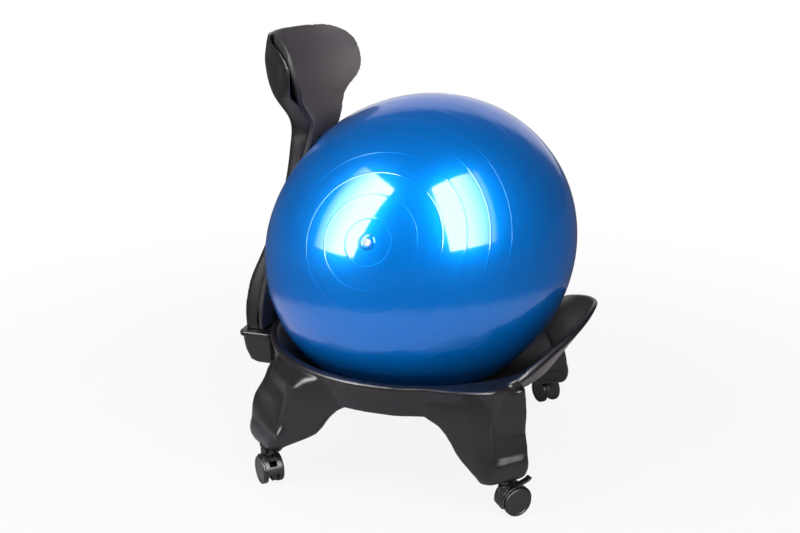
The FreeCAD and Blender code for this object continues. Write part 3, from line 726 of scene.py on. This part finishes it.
# %% Tray and socket
def near_line(p, start, end, reach):
    """1 on a line between two places, fading to 0 at a distance."""
    along = end - start
    t = min(max((p - start).dot(along) / along.length_squared, 0), 1)
    away = (p - start - along * t).length / reach
    return max(1 - away * away, 0)


def ramp(value, low, high):
    """0 below low, 1 above high and a smooth step between them."""
    t = min(max((value - low) / (high - low), 0), 1)
    return t * t * (3 - 2 * t)


# each row: a line's ends and how far around it the surface is melted, in mm
step_lines = [((262, -163, 122), (191, -244, 122), 40), ((262, 158, 165), (196, 236, 165), 30),
              ((262, 165, 130), (200, 245, 130), 34), ((238, -196, 130), (238, -196, 200), 14),
              ((245, 180, 104), (245, 180, 200), 24), ((258, 40, 208), (240, 140, 206), 16),
              ((258, -70, 212), (258, -165, 212), 9), ((203, -214, 222), (197, -222, 236), 20),
              ((262, 120, 212), (258, 168, 212), 18)]
foot_z, skirt_z, lip_z, lip_y = 66, 218, 250, -190


def leg_calm(p):
    """Where the sunk faces of the legs flow out of their corners, as blown plastic does."""
    q = Vector((abs(p.x), p.y, p.z))
    if q.z < foot_z or q.z > (lip_z if q.y < lip_y else skirt_z):
        return 0.0
    return max(near_line(q, Vector(start), Vector(end), reach) for start, end, reach in step_lines)


softened("moulded_base", ["base_shell"], 2.0, 5, base_finish, "base", "base_plastic", extra=leg_fillers,
         calm=leg_calm)
softened("moulded_socket", ["back_socket"], 1.5, 4, base_finish, "base", "base_plastic")

# %% [markdown]
# The backrest has a flat-edged front panel and a pillowy rear shell that meet in a parting line
# close behind the front face. Both are made from the panel's own solid, so they share its
# outline: the panel is thinned, and the shell is stretched back to the depth of the real one
# while its rear edge rolls inwards.

# %% Side view of the backrest
# each row: height; front face and how far it sags at the sides; back face and its sag; half width
back_rows = [(213, 284, 1, 324, 3, 80), (262, 283, 1, 324, 3, 78), (305, 276, 2, 316, 4, 75),
             (350, 264, 4, 298, 5, 70), (400, 245, 6, 277, 6, 66), (450, 230, 8, 260, 7, 62),
             (500, 219, 11, 247, 7, 60), (550, 206, 15, 239, 8, 61), (600, 195, 22, 238, 16, 76),
             (650, 227, 56, 269, 46, 128), (700, 247, 63, 279, 70, 150), (745, 257, 67, 276, 72, 152),
             (785, 262, 68, 270, 73, 152)]
lowest, highest = 200, 778
solid_thick = 14.0
face_thick = 8.5
parting = 5.5


def eased(z, column):
    """A column of the side view at a height, through a smooth curve."""
    k = max(i for i in range(len(back_rows) - 1) if i == 0 or back_rows[i][0] <= z)
    p0, p1, p2, p3 = (back_rows[min(max(i, 0), len(back_rows) - 1)] for i in (k - 1, k, k + 1, k + 2))
    t = (z - p1[0]) / (p2[0] - p1[0])
    span = p2[0] - p1[0]
    m1 = (p2[column] - p0[column]) / max(p2[0] - p0[0], 1) * span
    m2 = (p3[column] - p1[column]) / max(p3[0] - p1[0], 1) * span
    return ((2 * t ** 3 - 3 * t * t + 1) * p1[column] + (t ** 3 - 2 * t * t + t) * m1
            + (-2 * t ** 3 + 3 * t * t) * p2[column] + (t ** 3 - t * t) * m2)


face_table = {z: [eased(z, c) for c in range(1, 6)] for z in range(lowest, highest + 2)}


def back_section(x, z):
    """Front surface, depth and half width of the backrest at a place."""
    low = min(max(int(z), lowest), highest)
    t = z - low
    between = zip(face_table[low], face_table[low + 1])
    front, sag, back, back_sag, half = (a + (b - a) * t for a, b in between)
    share = (x / half) ** 2
    return front - origin_shift - sag * share, back - front - (back_sag - sag) * share, half


def depth_share(p, front):
    """0 on the solid panel's front face and 1 on its back."""
    return min(max((p.y - front) / solid_thick, 0), 1)


print("backrest front at the head", round(back_section(0, 700)[0], 1), "mm")

# %% [markdown]
# Against the solid, the real head curls further forward at its sides, is a little higher in the
# middle and has rounder corners. The face is a thin plate with its border set in. The shell
# behind it is a pillow: widest close behind the parting line, and rolled in towards its back.


# %% Face and pillow
def wings(x, z, half):
    """How much further forward than the solid's the face's side edges curl at the head, in mm."""
    return 10.0 * ramp(z, 600, 760) * min((x / half) ** 2, 1.2)


def crown(p):
    """How much higher than the solid's the head's top edge is at a place, in mm."""
    return ramp(p.z, 690, 755) * max(7 - 7 * (p.x / 75) ** 2, -4)


def thin_panel(p):
    front, _, half = back_section(p.x, p.z)
    inset = 3.0 * ramp(p.z, 600, 680)
    return Vector((p.x * (1 - inset / half),
                   front - wings(p.x, p.z, half) + depth_share(p, front) * face_thick,
                   p.z - 2.5 * ramp(p.z, 690, 755) + crown(p)))


def pillow(p):
    front, depth, half = back_section(p.x, p.z)
    share = depth_share(p, front)
    head = ramp(p.z, 590, 670)
    curl = wings(p.x, p.z, half)
    depth += curl + 5 * ramp(p.z, 600, 700)
    widest = 0.30 * head
    if share > widest:
        to_back = (share - widest) / (1 - widest)
        roll = (9 + 17 * head) * (1 - math.sqrt(1 - to_back ** 2 * 0.995))
    else:
        roll = 2.5 * ((widest - share) / 0.30) ** 2
    roll += 0.8 - 0.6 * head
    top = ramp(p.z, 690, 755)
    return Vector((p.x * (1 - roll / half), front - curl + parting + share * (depth - parting),
                   p.z - (roll + 2.5 + 7 * ramp(abs(p.x), 75, 115)) * top + crown(p)))


def head_edge(p):
    """The rounded border of the backrest's head."""
    return ramp(p.z, 625, 680) * max(ramp(abs(p.x), 85, 120), ramp(p.z, 735, 750) * 0.5)


def behind(p):
    """The head's sides, and with less effect the whole rear face, where the shell is a pillow."""
    front, _, _ = back_section(p.x, p.z)
    return max(head_edge(p), 0.7 * ramp(p.y - front, 8, 16) * ramp(p.z, 560, 600))


softened("backrest_face", ["backrest_panel"], 1.8, 3, panel_finish, "base", "panel_plastic",
         reshape=thin_panel, calm=head_edge, calm_passes=20)
softened("backrest_back", ["backrest_panel"], 1.8, 4, shell_finish, "base", "shell_plastic",
         stands_for=["backrest_shell"], reshape=pillow, calm=behind, calm_passes=110)

# %% [markdown]
# ## Casters
# Each caster is a hood over two wheels. The hoods and levers are softened copies. The wheels are
# turned parts, so their outline is spun: a rounded tread, a raised ring and a dished face.

# %% Wheels, hoods and levers
# each caster's stem in mm, and the direction in which it trails, in degrees
caster_places = {
    "rear_right": (-223.5, 213.0, -136.0), "front_right": (-223.5, -212.0, -45.0),
    "front_left": (223.5, -212.0, 42.0), "rear_left": (223.5, 213.0, 115.0)}
trail, wheel_radius = 20, 25
wheel_outline = [(3.05, 4.6), (8.0, 4.6), (8.0, 9.2), (23.6, 9.2), (24.6, 9.6), (25.0, 10.6), (25.0, 16.2),
                 (24.8, 17.6), (24.2, 18.5), (23.0, 19.0), (21.4, 19.0), (20.6, 18.7), (20.2, 18.1),
                 (19.8, 17.9), (14.0, 18.2), (6.0, 18.5), (2.0, 18.55), (0.0, 18.56)]


def wheel(name, corner, side):
    """Half of a twin wheel, with the mouth of its bore closed."""
    bm = spun(bmesh.new(), [(r * MM, h * side * MM, 0) for r, h in wheel_outline], 72, (0, 1, 0))
    bmesh.ops.holes_fill(bm, edges=[e for e in bm.edges if e.is_boundary], sides=0)
    bmesh.ops.recalc_face_normals(bm, faces=bm.faces)
    x, y, trailing = caster_places[corner]
    spot = Matrix.Translation((x * MM, y * MM, 0)) @ Matrix.Rotation(math.radians(trailing), 4, "Z")
    hub = Matrix.Translation((trail * MM, 0, wheel_radius * MM))
    bmesh.ops.transform(bm, matrix=spot @ hub, verts=bm.verts)
    return piece(bm, name + "_tread", wheel_finish, name, "wheel_nylon", name)


for corner in caster_places:
    for side, letter in ((1, "a"), (-1, "b")):
        wheel("wheel_%s_%s" % (letter, corner), corner, side)
    softened("caster_hood_" + corner, ["hood_" + corner], 0.7, 3, caster_finish, "swivel_" + corner,
             "caster_plastic")
for corner in ("rear_right", "front_right"):
    softened("lever_" + corner, ["brake_lever_" + corner], 0.4, 2, caster_finish, "brake_" + corner,
             "caster_plastic")
print("casters at", ", ".join(caster_places))

# %% [markdown]
# ## Hardware
# Stems, axles, bolts, nuts and screws have their right shape in the CAD, so they stay, and only
# get a metal finish. The sleeves that hold the stems are black plastic.

# %% Dress the CAD nodes that stay
kept = {"back_bolts": bolt_finish, "socket_screws": bolt_finish, "back_nuts": steel_finish}
for corner in caster_places:
    kept["stem_" + corner] = bolt_finish
    kept["axle_" + corner] = steel_finish
    kept["stem_sleeve_" + corner] = caster_finish
for name, finish in kept.items():
    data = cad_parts[name].data
    data.materials.clear()
    data.materials.append(finish)
print("kept nodes", len(kept))
